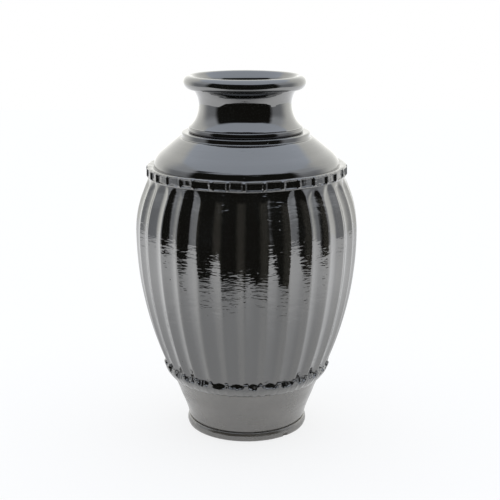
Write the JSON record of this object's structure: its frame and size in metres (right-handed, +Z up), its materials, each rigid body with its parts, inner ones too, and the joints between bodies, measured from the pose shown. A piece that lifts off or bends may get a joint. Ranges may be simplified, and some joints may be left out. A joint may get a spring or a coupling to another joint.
{
  "type": "black clay pot",
  "caption": "Round black clay pot with a rolled lip, a waisted neck, a fluted belly between finger-pressed coils, and a narrow foot ring.",
  "frame": {"origin": "centre of the circle that the foot ring stands on, at ground level", "axes": "+Z up along the pot's axis, from the foot to the mouth"},
  "size_m": [0.2468, 0.2472, 0.399],
  "materials": {
    "black_glaze": "glossy black glaze",
    "inner_glaze": "thin black glaze, satin",
    "bare_clay": "bare fired dark clay, matte"
  },
  "bodies": {
    "root": {"base_slab": "bare_clay", "foot_ring": "black_glaze", "floor_corner_coil": "inner_glaze", "foot_wall": "black_glaze", "foot_seam_coil": "inner_glaze", "lower_pressed_coil": "black_glaze", "fluted_belly": "black_glaze", "shoulder_seam_coil": "inner_glaze", "upper_pressed_coil": "black_glaze", "shoulder": "black_glaze", "neck_collar": "black_glaze", "neck": "black_glaze", "rolled_lip": "black_glaze"}
  },
  "joints": []
}
